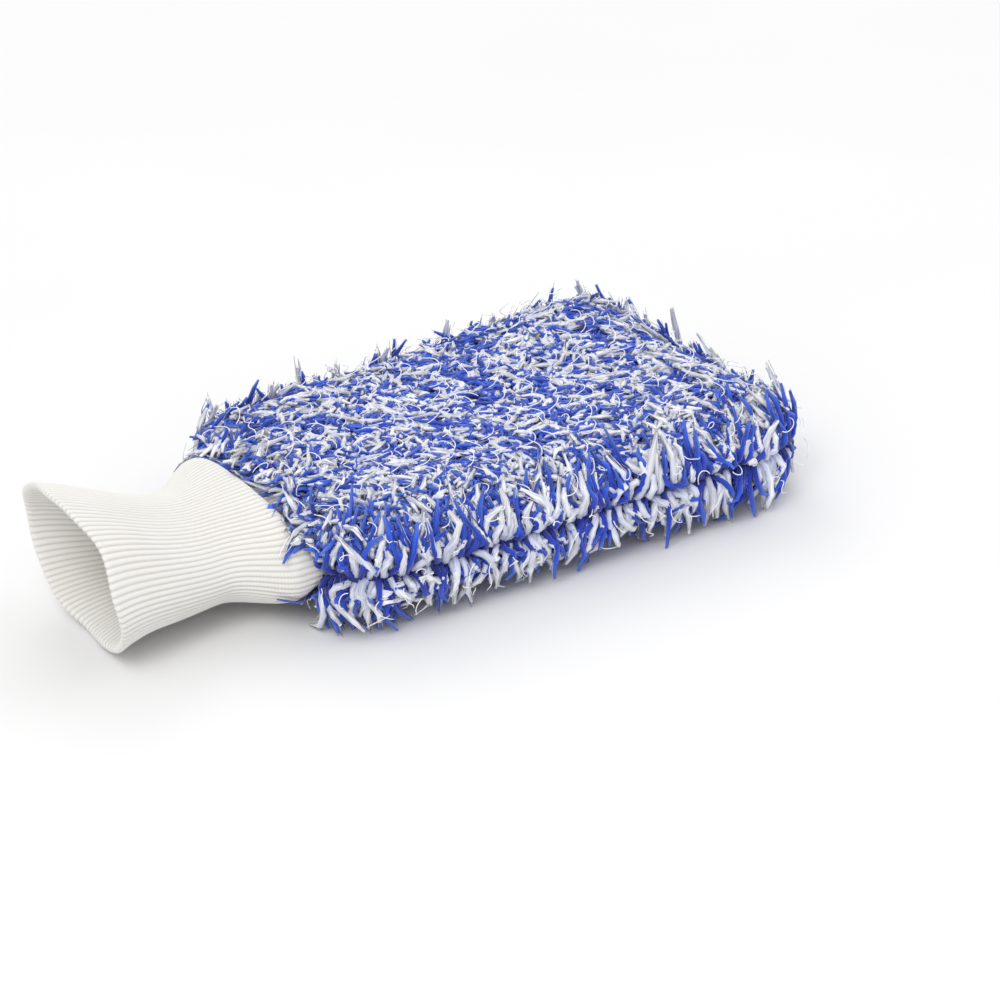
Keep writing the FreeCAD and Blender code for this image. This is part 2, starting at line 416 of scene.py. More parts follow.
def knitMaterial(total):
    material, tree, shader = newMaterial("ribKnit", **{
        "Roughness": 0.8, "Sheen Weight": 0.25, "Sheen Roughness": 0.5, "Specular IOR Level": 0.3})
    uv = put(tree, "ShaderNodeUVMap", uv_map="OFBake").outputs[0]
    split = put(tree, "ShaderNodeSeparateXYZ", {0: uv})
    wales = times(tree, split.outputs[0], knit["ribs"] * 2)
    half = sums(tree, "ABSOLUTE", sums(tree, "SUBTRACT", sums(tree, "FRACT", wales), 0.5))
    courses = times(tree, split.outputs[1], total / knit["coursePitch"])
    vee = sums(tree, "MULTIPLY_ADD", half, 1.5, courses)
    loop = sums(tree, "SINE", times(tree, vee, 2 * math.pi))
    loop = sums(tree, "MULTIPLY_ADD", loop, 0.5, 0.5)
    crest = put(tree, "ShaderNodeAttribute", attribute_name="crest").outputs["Fac"]
    # painted shade: the furrows between the ribs are darker than the crests, over the yarn's own off-white
    yarn = ramp(tree, crest, [
        (0.0, (0.62, 0.6, 0.56)), (0.45, (0.8, 0.785, 0.75)), (1.0, (0.88, 0.87, 0.845))])
    stitched = ramp(tree, loop, [(0.0, (0.86, 0.86, 0.86)), (0.6, (1.0, 1.0, 1.0))])
    shaded = mixed(tree, 0.7, yarn, stitched, "MULTIPLY")
    cloud = put(tree, "ShaderNodeTexNoise", {
        "Vector": put(tree, "ShaderNodeTexCoord").outputs["Object"], "Scale": 45.0, "Detail": 2.0})
    warmth = ramp(tree, cloud.outputs["Fac"], [(0.3, (0.985, 0.98, 0.965)), (0.7, (1.0, 1.0, 1.0))])
    tree.links.new(mixed(tree, 1.0, shaded, warmth, "MULTIPLY"), shader.inputs["Base Color"])
    fuzz = put(tree, "ShaderNodeTexNoise", {
        "Vector": arrows(tree, "MULTIPLY", uv, (900.0, 600.0, 1.0)), "Scale": 1.0, "Detail": 2.0})
    height = sums(tree, "MULTIPLY_ADD", fuzz.outputs["Fac"], 0.4, loop)
    bump = put(tree, "ShaderNodeBump", {"Height": height, "Strength": 0.5, "Distance": 0.00025})
    tree.links.new(bump.outputs[0], shader.inputs["Normal"])
    return material


def makeKnitCuff():
    tube, total = knitTube()
    runTree(tube, ribTree(), {"Ribs": float(knit["ribs"]), "Wander": knit["wander"],
                              "Material": knitMaterial(total)})
    cuff = settled(tube, "ribKnitCuff")
    dropped(tube)
    for name in ("around", "ribDepth", "rooted"):
        cuff.data.attributes.remove(cuff.data.attributes[name])
    lift = max(0.0, knit["floorGap"] - places(cuff)[:, 2].min())
    co = places(cuff)
    co[:, 2] += lift * eased((knit["waistX"] - co[:, 0]) / 0.03)
    setPlaces(cuff, co)
    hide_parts("knit_neck", "knit_cuff")
    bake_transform(cuff)
    print("knit cuff:", len(cuff.data.polygons), "faces, lifted", round(lift, 5))
    return cuff


body = {
    "length": 2 * pileHigh.x,
    "width": 2 * pileHigh.y,
    "neckEndWidth": 0.18,
    "height": pileHigh.z,
    "cornerRadius": 0.038,
    "edgeRound": 0.026,
    "pileDepth": pileHigh.x - backHigh.x,
    "backing": 0.001,
    "foam": 0.004,
    "lining": 0.0008,
    "liningFolds": 0.0012,
    "slack": 0.001,  # how much smaller the form starts before it is puffed up
    "seamRidge": 0.0022,  # the panels meet in a blunt edge, not in a flat wall
    "seamSpread": 0.005,
    "seamPinned": 0.0025,  # half height of the edge that puffing leaves alone
    "pressure": 4.0,
    "puffCap": 0.0022,
    "puffSteps": 18,
    "voxel": 0.0042,
    "hollow": 0.003,
    "hollowSize": (0.075, 0.055),
    "cornerLift": 0.007,
    "dents": 0.0012,
    "fill": 0.45,
    "knitGap": 0.0001,  # from the knit to the backing sewn to it
    "pileKnitGap": 0.0009,
    "innerKnitGap": 0.0022,
    "cutPastRoot": 0.0015,
    "cutPastSeat": 0.03,
}


def outline(inset, count):
    b = body
    radius = b["cornerRadius"] - inset
    centreX = b["length"] / 2 - b["cornerRadius"]
    tipY = b["width"] / 2 - b["cornerRadius"]
    neckY = b["neckEndWidth"] / 2 - b["cornerRadius"]
    lean = math.atan2(tipY - neckY, 2 * centreX)
    quarter = math.pi / 2
    corners = [(centreX, tipY, 0, quarter + lean), (-centreX, neckY, quarter + lean, 2 * quarter),
               (-centreX, -neckY, 2 * quarter, 3 * quarter - lean),
               (centreX, -tipY, 3 * quarter - lean, 4 * quarter)]
    trace = []
    for x, y, start, end in corners:
        for turn in np.linspace(start, end, 24):
            trace.append((x + radius * math.cos(turn), y + radius * math.sin(turn)))
    trace = np.array(trace + trace[:1])
    run = np.concatenate([[0], np.cumsum(np.hypot(*np.diff(trace, axis=0).T))])
    wanted = np.linspace(0, run[-1], count, endpoint=False)
    return np.stack([np.interp(wanted, run, trace[:, 0]), np.interp(wanted, run, trace[:, 1])], axis=1)


def bodyForm(inset, ridge):
    b = body
    halfHeight = b["height"] / 2 - inset
    edge = b["edgeRound"] - inset
    band = halfHeight - edge
    count, rings = 180, []
    turns = [math.radians(v) for v in range(-90, 91, 10)]
    heights = [math.copysign(band, t) + edge * math.sin(t) if abs(t) > 0.01 else 0.0 for t in turns]
    for turn, height in zip(turns, heights):
        pushed = ridge * math.exp(-(height / b["seamSpread"]) ** 2)
        flat = outline(inset + edge * (1 - math.cos(turn)) - pushed, count)
        rings.append(np.column_stack([flat, np.full(count, middleZ + height)]))
    points = np.concatenate(rings).tolist()
    faces = []
    for row in range(len(rings) - 1):
        for index in range(count):
            following = (index + 1) % count
            low, high = row * count, (row + 1) * count
            faces.append((low + index, low + following, high + following, high + index))
    last = (len(rings) - 1) * count
    faces.append(tuple(range(count))[::-1])
    faces.append(tuple(range(last, last + count)))
    return meshPiece("bodyForm", points, faces)


def remeshed(piece, voxel):
    modifier = piece.modifiers.new("even", "REMESH")
    modifier.mode = "VOXEL"
    modifier.voxel_size = voxel
    result = settled(piece, "softForm")
    dropped(piece)
    for polygon in result.data.polygons:
        polygon.use_smooth = True
    return result


def puffed(form):
    start = places(form)
    pin = form.vertex_groups.new(name="seam")
    for vertex in form.data.vertices:
        if abs(vertex.co.z - middleZ) < body["seamPinned"]:
            pin.add([vertex.index], 1.0, "REPLACE")
    modifier = form.modifiers.new("puff", "CLOTH")
    cloth = modifier.settings
    cloth.quality = 5
    cloth.mass = 0.15
    cloth.use_pressure = True
    cloth.uniform_pressure_force = body["pressure"]
    cloth.effector_weights.gravity = 0
    cloth.vertex_group_mass = "seam"
    modifier.point_cache.frame_end = body["puffSteps"]
    for step in range(1, body["puffSteps"] + 1):
        scene.frame_set(step)
    seen = form.evaluated_get(bpy.context.evaluated_depsgraph_get())
    swollen = np.array([v.co for v in seen.data.vertices])
    form.modifiers.remove(modifier)
    scene.frame_set(1)
    move = swollen - start
    size = np.linalg.norm(move, axis=1, keepdims=True)
    move *= np.minimum(1, body["puffCap"] / np.maximum(size, 1e-9))
    setPlaces(form, start + move)
    print("puffed up by", round(float(size.max()) * 1000, 1), "mm at most, kept to", body["puffCap"] * 1000)


def softened(form):
    co = places(form)
    share = np.clip((co[:, 2] - middleZ) / (body["height"] / 2 - body["pileDepth"]), -1, 1)
    alongSize, acrossSize = body["hollowSize"]
    middle = np.exp(-(co[:, 0] / alongSize) ** 2 - (co[:, 1] / acrossSize) ** 2)
    corner = np.clip(co[:, 0] / (body["length"] / 2), 0, 1) ** 3 * (co[:, 1] / (body["width"] / 2)) ** 2
    corner *= np.where(co[:, 1] > 0, 1, 0.5)
    co[:, 2] += (body["cornerLift"] * corner - body["hollow"] * middle) * np.clip(share, 0, 1) ** 2
    form.data.update()
    normals = np.array([v.normal for v in form.data.vertices])
    lumps = np.array([noise.noise(Vector(p) * 28) + 0.5 * noise.noise(Vector(p) * 61) for p in co])
    co += normals * (lumps * body["dents"] * np.where(share > -0.8, 1, 0.2))[:, None]
    setPlaces(form, co)


def neckCutter(clearance):
    columns, xs = 120, (knit["rootX"] + body["cutPastRoot"], knit["seatX"] - body["cutPastSeat"])
    ring = knitRing(knit["rootX"], -clearance, columns)
    points = [(x, p[1], p[2]) for x in xs for p in ring]
    faces = [tuple(range(columns)), tuple(range(columns, 2 * columns))[::-1]]
    for index in range(columns):
        following = (index + 1) % columns
        faces.append((index, columns + index, columns + following, following))
    cutter = meshPiece("neckCutter", points, faces, smooth=False)
    for polygon in cutter.data.polygons:
        polygon.material_index = 1  # marks the hole's own walls, which are taken out afterwards
    return cutter


def opened(form, name, clearance):
    cutter = neckCutter(clearance)
    for piece in (form, cutter):
        while len(piece.data.materials) < 2:
            piece.data.materials.append(None)
    cut = form.modifiers.new("neck", "BOOLEAN")
    cut.operation = "DIFFERENCE"
    cut.solver = "EXACT"
    cut.object = cutter
    result = settled(form, name)
    form.modifiers.remove(cut)
    dropped(cutter)
    mesh = bmesh.new()
    mesh.from_mesh(result.data)
    inside = [face for face in mesh.faces if face.material_index == 1]
    bmesh.ops.delete(mesh, geom=inside, context="FACES")
    bmesh.ops.remove_doubles(mesh, verts=mesh.verts, dist=0.00005)
    mesh.to_mesh(result.data)
    mesh.free()
    print(name, "opened for the knit:", len(inside), "faces taken out")
    return result


def insetForm(form, name, depth, wrinkle=0.0):
    result = form.copy()
    result.data = form.data.copy()
    result.name = result.data.name = name
    scene.collection.objects.link(result)
    co = places(result)
    normals = np.array([v.normal for v in form.data.vertices])
    folds = np.array([max(0.0, noise.noise(Vector((p[0] * 55, p[1] * 55, p[2] * 90)))) for p in co])
    co -= normals * (depth + wrinkle * folds)[:, None]
    setPlaces(result, co)
    return result


def walled(piece, thickness):
    modifier = piece.modifiers.new("wall", "SOLIDIFY")
    modifier.thickness = thickness
    modifier.offset = -1
    result = settled(piece, piece.name + "Made")
    name = piece.name
    dropped(piece)
    result.name = result.data.name = name
    return result


def dressed(piece, material, slot, *nodes):
    piece.data.materials.clear()
    piece.data.materials.append(material)
    for polygon in piece.data.polygons:
        polygon.material_index = 0
        polygon.use_smooth = True
    if nodes:
        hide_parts(*nodes)
    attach(piece, "mitt")
    return piece


def makeBody():
    b = body
    form = remeshed(bodyForm(b["pileDepth"] + b["slack"], b["seamRidge"]), b["voxel"])
    puffed(form)
    softened(form)
    backing = walled(opened(form, "backingCloth", b["knitGap"]), b["backing"])
    # painted shade: the backing is a deep navy, darker than the real cloth, so that where it shows between
    # the locks it reads as the shadow at the pile's roots
    dressed(backing, clothMaterial("backingKnitPaintedShade", (0.07, 0.11, 0.42), (0.025, 0.045, 0.26), 0.0012),
            "backing_cloth", "top_backing_cloth", "bottom_backing_cloth")
    gap = b["knitGap"]
    foamForm = insetForm(form, "foamForm", b["backing"] + gap)
    foam = walled(opened(foamForm, "foamPadding", b["innerKnitGap"]), b["foam"] - 2 * gap)
    dropped(foamForm)
    dressed(foam, clothMaterial("openFoam", (0.86, 0.84, 0.76), (0.7, 0.67, 0.58), 0.0016, 0.1, 0.0004),
            "foam", "top_foam_sheet", "bottom_foam_sheet")
    liningForm = insetForm(form, "liningForm", b["backing"] + b["foam"], b["liningFolds"])
    lining = walled(opened(liningForm, "pocketLining", b["innerKnitGap"]), b["lining"])
    dropped(liningForm)
    dressed(lining, clothMaterial("pocketCloth", (0.8, 0.8, 0.8), (0.58, 0.58, 0.6), 0.0007),
            "lining", "top_lining", "bottom_lining")
    print("body layers:", len(backing.data.polygons), len(foam.data.polygons), len(lining.data.polygons))
    return form


seams = {
    "allowance": 0.006,
    "bandThickness": 0.0052,
    "pocketWall": 0.0062,  # from the outside of the form to the inside of the lining
    "loopRadius": 0.0032,
    "joinLoopRadius": 0.0028,
    "joinInset": 0.0012,
    "loopSpacing": 0.0052,
    "threadRadius": 0.00025,
    "slant": 0.22,
}


def loopTree():
    tree, given = newTree("overlockLoops", {
        "Spacing": "Float", "Loop Radius": "Float", "Thread Radius": "Float", "Slant": "Float",
        "Material": "Material"})
    curve = put(tree, "GeometryNodeMeshToCurve", {0: given["Geometry"]}).outputs[0]
    spots = put(tree, "GeometryNodeCurveToPoints", {
        "Curve": curve, "Length": given["Spacing"]}, mode="LENGTH").outputs
    loop, yarn = (put(tree, "GeometryNodeCurvePrimitiveCircle", {"Resolution": sides, "Radius": given[size]})
                  for sides, size in ((14, "Loop Radius"), (5, "Thread Radius")))
    ring = put(tree, "GeometryNodeCurveToMesh", {"Curve": loop.outputs[0], "Profile Curve": yarn.outputs[0]})
    placed = put(tree, "GeometryNodeInstanceOnPoints", {
        "Points": spots["Points"], "Instance": ring.outputs[0], "Rotation": spots["Rotation"]})
    tilt = put(tree, "ShaderNodeCombineXYZ", {0: given["Slant"]}).outputs[0]
    tilted = put(tree, "GeometryNodeRotateInstances", {"Instances": placed.outputs[0], "Rotation": tilt})
    smooth = put(tree, "GeometryNodeSetShadeSmooth", {"Geometry": tilted.outputs[0], "Shade Smooth": True})
    whole = put(tree, "GeometryNodeRealizeInstances", {"Geometry": smooth.outputs[0]}).outputs[0]
    finished = put(tree, "GeometryNodeSetMaterial", {"Geometry": whole, "Material": given["Material"]})
    put(tree, "NodeGroupOutput", {0: finished.outputs[0]})
    return tree


def seamPath(inset):  # along the side seam, from one side of the neck round to the other
    path = outline(inset, 480)
    gap = np.where((path[:, 0] < knit["rootX"] + seams["allowance"])
                   & (np.abs(path[:, 1]) < knit["rootWidth"] / 2 + 2 * seams["loopRadius"]))[0]
    return np.concatenate([path[gap[-1] + 1:], path[:gap[0]]])


def makeSeams():
    m = seams
    near = body["pileDepth"] + body["slack"] + m["pocketWall"]
    outer, inner = seamPath(near), seamPath(near + m["allowance"])
    count = min(len(outer), len(inner))
    steps = np.linspace(0, 1, count)
    outer = np.stack([np.interp(steps, np.linspace(0, 1, len(outer)), outer[:, i]) for i in (0, 1)], axis=1)
    inner = np.stack([np.interp(steps, np.linspace(0, 1, len(inner)), inner[:, i]) for i in (0, 1)], axis=1)
    half, soft = m["bandThickness"] / 2, 0.18
    section = [(0, -1), (0, 1), (1 - soft, 1), (1 - soft / 3, 1 - soft), (1, 0), (1 - soft / 3, soft - 1),
               (1 - soft, -1)]
    points, faces, ring = [], [], len(section)
    for index in range(count):
        for share, height in section:
            spot = outer[index] * (1 - share) + inner[index] * share
            points.append((spot[0], spot[1], middleZ + half * height))
    for index in range(count - 1):
        for corner in range(ring):
            following = (corner + 1) % ring
            low, high = index * ring, (index + 1) * ring
            faces.append((low + corner, high + corner, high + following, low + following))
    faces += [tuple(range(ring)), tuple(range((count - 1) * ring, count * ring))[::-1]]
    band = meshPiece("seamAllowance", points, faces)
    mesh = bmesh.new()
    mesh.from_mesh(band.data)
    bmesh.ops.recalc_face_normals(mesh, faces=mesh.faces)
    mesh.to_mesh(band.data)
    mesh.free()
    dressed(band, bpy.data.materials["pocketCloth"], "lining", "top_lining", "bottom_lining")
    tree, thread = loopTree(), threadMaterial()
    along = (outer + inner) / 2
    joinRing = knitRing(knit["rootX"] - m["joinInset"], knit["thickness"] / 2, 90)
    for name, path, closed, node, radius in (
            ("sideSeamStitches", np.column_stack([along, np.full(count, middleZ)]), False,
             "side_seam_thread", m["loopRadius"]),
            ("cuffJoinStitches", joinRing, True, "cuff_join_thread", m["joinLoopRadius"])):
        links = [(i, i + 1) for i in range(len(path) - 1)] + ([(len(path) - 1, 0)] if closed else [])
        line = meshPiece(name + "Line", path.tolist(), [], edges=links)
        runTree(line, tree, {"Spacing": m["loopSpacing"], "Loop Radius": radius, "Slant": m["slant"],
                             "Thread Radius": m["threadRadius"], "Material": thread})
        stitches = settled(line, name)
        dropped(line)
        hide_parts(node)
        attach(stitches, "mitt")
        print("seams:", name, len(stitches.data.polygons), "faces")


pile = {
    "spacing": 0.00178,
    "lockWidth": 0.00122,
    "sideWidth": 0.4,  # how much thicker the locks are on the sides
    "whiteShare": 1.12,  # how much thicker the white locks are than the blue ones are thinner
    "looseStrands": 3,
    "looseWidth": 0.0003,
    "looseSpread": 0.0012,
    "length": 0.0108,
    "sideLength": 1.35,  # how much longer the locks are on the sides
    "lift": 0.0,
    "lean": 0.9,
    "comb": 1.3,
    "bend": 0.85,
    "parting": 1.0,  # how strongly the locks are combed away from the side seam
    "hug": 0.42,  # how close those locks lie at their tips
    "overhang": 1.0,  # how far the locks at the neck end lean out over the knit
    "neckLength": 0.4,  # how much longer they are there
    "droop": 0.1,
    "curl": 0.9,
    "curlPace": 1.0,
    "fray": 0.2,
    "twist": 3.0,
    "loopRadius": 0.0,
    "loopTurn": 0.0,
    "segments": 5,
    "blueShare": 0.6,
    "seed": 11,
}
strayThreads = {  # the thin curls that lie over the locks, where they differ from the locks
    "spacing": 0.0078,
    "lockWidth": 0.00024,
    "sideWidth": 0.0,
    "whiteShare": 1.0,
    "looseStrands": 0,
    "length": 0.0062,
    "sideLength": 1.2,
    "lift": 0.0085,
    "lean": 2.0,
    "comb": 1.0,
    "bend": 0.3,
    "curl": 0.5,
    "loopRadius": 0.0017,
    "loopTurn": 4.6,
    "segments": 10,
    "seed": 40,
}
pileFaces = {  # bands are pieces along the length; the shares are what is left where nobody looks
    "top": {"side": 1.0, "bands": 7, "lockShare": 1.0, "strayShare": 1.0},
    "bottom": {"side": -1.0, "bands": 4, "lockShare": 0.4, "strayShare": 0.1},
}
pileZones = {  # distances over which the way the locks lie fades out
    "seam": (0.002, 0.022),
    "neckEnd": (0.004, 0.024),
    "knitSides": (-0.008, 0.006),
    "blueCentre": (0.03, 0.1),
}


def titled(key):  # lockWidth becomes Lock Width, the tree's name for it
    return "".join(" " + letter if letter.isupper() else letter for letter in key).title()


def tuftTree():
    inputs = {titled(key): "Int" if isinstance(value, int) else "Float" for key, value in pile.items()}
    for name in ("From X", "To X", "Side", "Seam Height", "Under Share", "Neck End", "Neck Width"):
        inputs[name] = "Float"
    tree, given = newTree("tufts", {**inputs, "Material": "Material"})
    place = put(tree, "GeometryNodeInputPosition").outputs[0]
    normal = put(tree, "GeometryNodeInputNormal").outputs[0]
    normalZ = put(tree, "ShaderNodeSeparateXYZ", {0: normal}).outputs[2]
    under = put(tree, "ShaderNodeMapRange", {
        0: normalZ, 1: -0.9, 2: -0.6, 3: given["Under Share"], 4: 1.0}).outputs[0]
    densest = sums(tree, "DIVIDE", 4.0, sums(tree, "POWER", given["Spacing"], 2.0))
    scatter = put(tree, "GeometryNodeDistributePointsOnFaces", {
        "Mesh": given["Geometry"], "Distance Min": given["Spacing"], "Density Max": densest,
        "Density Factor": under, "Seed": given["Seed"]}, distribute_method="POISSON")
    x, y, z = put(tree, "ShaderNodeSeparateXYZ", {0: place}).outputs
    before = sums(tree, "LESS_THAN", x, given["From X"])
    after = sums(tree, "GREATER_THAN", x, given["To X"])
    aboveSeam = times(tree, sums(tree, "SUBTRACT", z, given["Seam Height"]), given["Side"])
    outside = sums(tree, "ADD", sums(tree, "ADD", before, after), sums(tree, "LESS_THAN", aboveSeam, 0.0))
    points = pointwise(tree, scatter.outputs["Points"], "tuftNormal", scatter.outputs["Normal"],
                       "FLOAT_VECTOR")
    points = put(tree, "GeometryNodeDeleteGeometry", {
        0: points, 1: sums(tree, "GREATER_THAN", outside, 0.5)}, domain="POINT").outputs[0]

    def chance(low, high, salt):
        seeded = sums(tree, "ADD", given["Seed"], salt)
        return put(tree, "FunctionNodeRandomValue", {2: low, 3: high, "Seed": seeded}).outputs[1]

    def chanceArrow(salt):
        seeded = sums(tree, "ADD", given["Seed"], salt)
        return put(tree, "FunctionNodeRandomValue", {
            0: (-1.0, -1.0, -1.0), 1: (1.0, 1.0, 1.0), "Seed": seeded}, data_type="FLOAT_VECTOR").outputs[0]

    def fading(value, start, end):
        return put(tree, "ShaderNodeMapRange", {0: value, 1: start, 2: end, 3: 1.0, 4: 0.0}).outputs[0]

    def across(vector):  # what is left of a vector along the cloth
        up = stored(tree, "tuftNormal", "FLOAT_VECTOR")
        along = stretched(tree, up, arrows(tree, "DOT_PRODUCT", vector, up))
        return arrows(tree, "SUBTRACT", vector, along)

    combing = put(tree, "ShaderNodeTexNoise", {"Vector": place, "Scale": 60.0, "Detail": 1.0})
    combed = arrows(tree, "SUBTRACT", combing.outputs["Color"], (0.5, 0.5, 0.5))
    upright = sums(tree, "ABSOLUTE", put(tree, "ShaderNodeSeparateXYZ", {
        0: stored(tree, "tuftNormal", "FLOAT_VECTOR")}).outputs[2])
    sideness = sums(tree, "SUBTRACT", 1.0, upright)
    unruly = times(tree, given["Lean"], sums(tree, "MULTIPLY_ADD", sideness, -0.62, 1.0))
    combed = stretched(tree, combed, given["Comb"])
    lean = arrows(tree, "ADD", stretched(tree, chanceArrow(1), unruly), combed)
    pastNeck = sums(tree, "SUBTRACT", x, given["Neck End"])
    fromKnit = sums(tree, "SUBTRACT", sums(tree, "ABSOLUTE", y), given["Neck Width"])
    nearNeck = times(tree, fading(pastNeck, *pileZones["neckEnd"]), fading(fromKnit, *pileZones["knitSides"]))
    outward = times(tree, nearNeck, given["Overhang"], -1.0)
    nearSeam = fading(aboveSeam, *pileZones["seam"])
    points = pointwise(tree, points, "nearSeam", nearSeam)
    rise = times(tree, nearSeam, given["Parting"], given["Side"])
    parted = arrows(tree, "ADD", lean, put(tree, "ShaderNodeCombineXYZ", {2: rise}).outputs[0])
    swept = put(tree, "ShaderNodeCombineXYZ", {0: outward}).outputs[0]
    points = pointwise(tree, points, "tuftLean", arrows(tree, "ADD", across(parted), swept), "FLOAT_VECTOR")
    points = pointwise(tree, points, "sideness", sideness)
    extra = sums(tree, "MULTIPLY_ADD", sideness, sums(tree, "SUBTRACT", given["Side Length"], 1.0), 1.0)
    extra = sums(tree, "MULTIPLY_ADD", nearNeck, given["Neck Length"], extra)
    tuftLength = times(tree, given["Length"], chance(0.82, 1.18, 2), extra)
    points = pointwise(tree, points, "tuftLength", tuftLength)
    patch = put(tree, "ShaderNodeTexNoise", {"Vector": place, "Scale": 35.0, "Detail": 1.0}).outputs["Fac"]
    centred = fading(arrows(tree, "LENGTH", place), *pileZones["blueCentre"])  # a little bluer in the middle
    centred = sums(tree, "MULTIPLY_ADD", centred, 0.14, -0.04)
    blueHere = sums(tree, "MULTIPLY_ADD", sums(tree, "SUBTRACT", patch, 0.5), 0.4, given["Blue Share"])
    blueHere = sums(tree, "ADD", blueHere, centred)
    points = pointwise(tree, points, "tuftWhite", sums(tree, "GREATER_THAN", chance(0.0, 1.0, 3), blueHere))
    half = pileDyeAndPaintedLight["columns"] // 2
    points = pointwise(tree, points, "tuftShade", chance(0.0, half - 5.0, 9))

    t = put(tree, "GeometryNodeSplineParameter").outputs["Factor"]
    tt = times(tree, t, t)
    up = stored(tree, "tuftNormal", "FLOAT_VECTOR")
    leaning = stored(tree, "tuftLean", "FLOAT_VECTOR")
    root = stored(tree, "root", "FLOAT_VECTOR")
    isWhiteLock = stored(tree, "tuftWhite")

    def strands(points, salt, spread, fray, width, taper, profile, swapShare, fewer=0.0):
        swapped = sums(tree, "LESS_THAN", chance(0.0, 1.0, salt), swapShare)
        isWhite = sums(tree, "ABSOLUTE", sums(tree, "SUBTRACT", stored(tree, "tuftWhite"), swapped))
        shade = sums(tree, "ADD", stored(tree, "tuftShade"), chance(0.1, 4.9, salt + 1))
        made = pointwise(tree, points, "column", sums(tree, "FLOOR", sums(
            tree, "MULTIPLY_ADD", isWhite, float(half), shade)))
        made = pointwise(tree, made, "strandSeed", chance(0.0, 40.0, salt + 2))
        made = pointwise(tree, made, "strandOffset", across(chanceArrow(salt + 3)), "FLOAT_VECTOR")
        made = pointwise(tree, made, "strandLength", chance(0.95, 1.15, salt + 4))
        made = pointwise(tree, made, "root", place, "FLOAT_VECTOR")
        line = put(tree, "GeometryNodeCurvePrimitiveLine", {"End": (0.0, 0.0, 0.01)}).outputs[0]
        line = put(tree, "GeometryNodeResampleCurve", {"Curve": line, "Count": sums(
            tree, "ADD", given["Segments"], 1.0 - fewer)}).outputs[0]
        made = put(tree, "GeometryNodeInstanceOnPoints", {"Points": made, "Instance": line}).outputs[0]
        made = put(tree, "GeometryNodeRealizeInstances", {"Geometry": made}).outputs[0]
        length = times(tree, stored(tree, "tuftLength"), stored(tree, "strandLength"))
        ahead = arrows(tree, "NORMALIZE", arrows(tree, "ADD", up, stretched(tree, leaning, 0.4)))
        slowing = times(tree, given["Bend"], 0.5, tt)
        path = stretched(tree, ahead, times(tree, length, sums(tree, "SUBTRACT", t, slowing)))
        over = stretched(tree, leaning, times(tree, length, given["Bend"], tt))
        fall = put(tree, "ShaderNodeCombineXYZ", {2: times(
            tree, given["Droop"], stored(tree, "sideness"), length, tt, -1.0)}).outputs[0]
        hugged = stretched(tree, up, times(tree, given["Hug"], stored(tree, "nearSeam"), length, tt, -1.0))

        def swirl(spot, strength):  # a smooth wander that grows towards the tip
            colour = put(tree, "ShaderNodeTexNoise", {"Vector": spot, "Scale": 1.0, "Detail": 0.0})
            wander = arrows(tree, "SUBTRACT", colour.outputs["Color"], (0.5, 0.5, 0.5))
            return stretched(tree, wander, times(tree, strength, length, t, 2.0))

        spot = arrows(tree, "ADD", stretched(tree, root, 280.0), stretched(
            tree, (1.0, 0.4, 0.9), times(tree, given["Curl Pace"], t)))
        own = arrows(tree, "ADD", spot, stretched(tree, (0.3, 1.0, 0.6), stored(tree, "strandSeed")))
        began = stored(tree, "strandSeed")
        turning = sums(tree, "MULTIPLY_ADD", t, given["Loop Turn"], began)
        aside = arrows(tree, "NORMALIZE", leaning)

        def wound(axis, wave):  # one axis of a stray thread's loop, which starts at its root
            moved = sums(tree, "SUBTRACT", sums(tree, wave, turning), sums(tree, wave, began))
            return stretched(tree, axis, moved)

        loop = arrows(tree, "ADD", wound(aside, "COSINE"), wound(
            arrows(tree, "CROSS_PRODUCT", up, aside), "SINE"))
        position = arrows(tree, "ADD", root, stretched(tree, up, given["Lift"]))
        for part in (stretched(tree, stored(tree, "strandOffset", "FLOAT_VECTOR"), spread), path, over, fall,
                     hugged, across(swirl(spot, given["Curl"])), across(swirl(own, fray)),
                     stretched(tree, loop, given["Loop Radius"])):
            position = arrows(tree, "ADD", position, part)
        made = put(tree, "GeometryNodeSetPosition", {"Geometry": made, "Position": position}).outputs[0]
        turned = sums(tree, "MULTIPLY_ADD", given["Twist"], t, stored(tree, "strandSeed"))
        made = put(tree, "GeometryNodeSetCurveTilt", {"Curve": made, "Tilt": turned}).outputs[0]
        made = pointwise(tree, made, "reach", t)
        fuller = sums(tree, "POWER", given["White Share"], sums(tree, "MULTIPLY_ADD", isWhiteLock, 2.0, -1.0))
        fuller = times(tree, fuller, sums(
            tree, "MULTIPLY_ADD", stored(tree, "sideness"), given["Side Width"], 1.0))
        girth = times(tree, width, fuller, taper)
        solid = put(tree, "GeometryNodeCurveToMesh", {
            "Curve": made, "Profile Curve": profile, "Scale": girth, "Fill Caps": True}).outputs[0]
        return solid

    def section(sides, dip):  # across a strand; a dip between its plies makes it look spun
        ring = put(tree, "GeometryNodeCurvePrimitiveCircle", {"Resolution": sides, "Radius": 1.0})
        ring = pointwise(tree, ring.outputs[0], "girth", t)
        if dip:
            index = put(tree, "GeometryNodeInputIndex").outputs[0]
            odd = sums(tree, "MODULO", index, 2.0)
            scale = sums(tree, "MULTIPLY_ADD", odd, -dip, 1.0)
            ring = put(tree, "GeometryNodeSetPosition", {
                "Geometry": ring, "Position": stretched(tree, place, scale)}).outputs[0]
        return ring

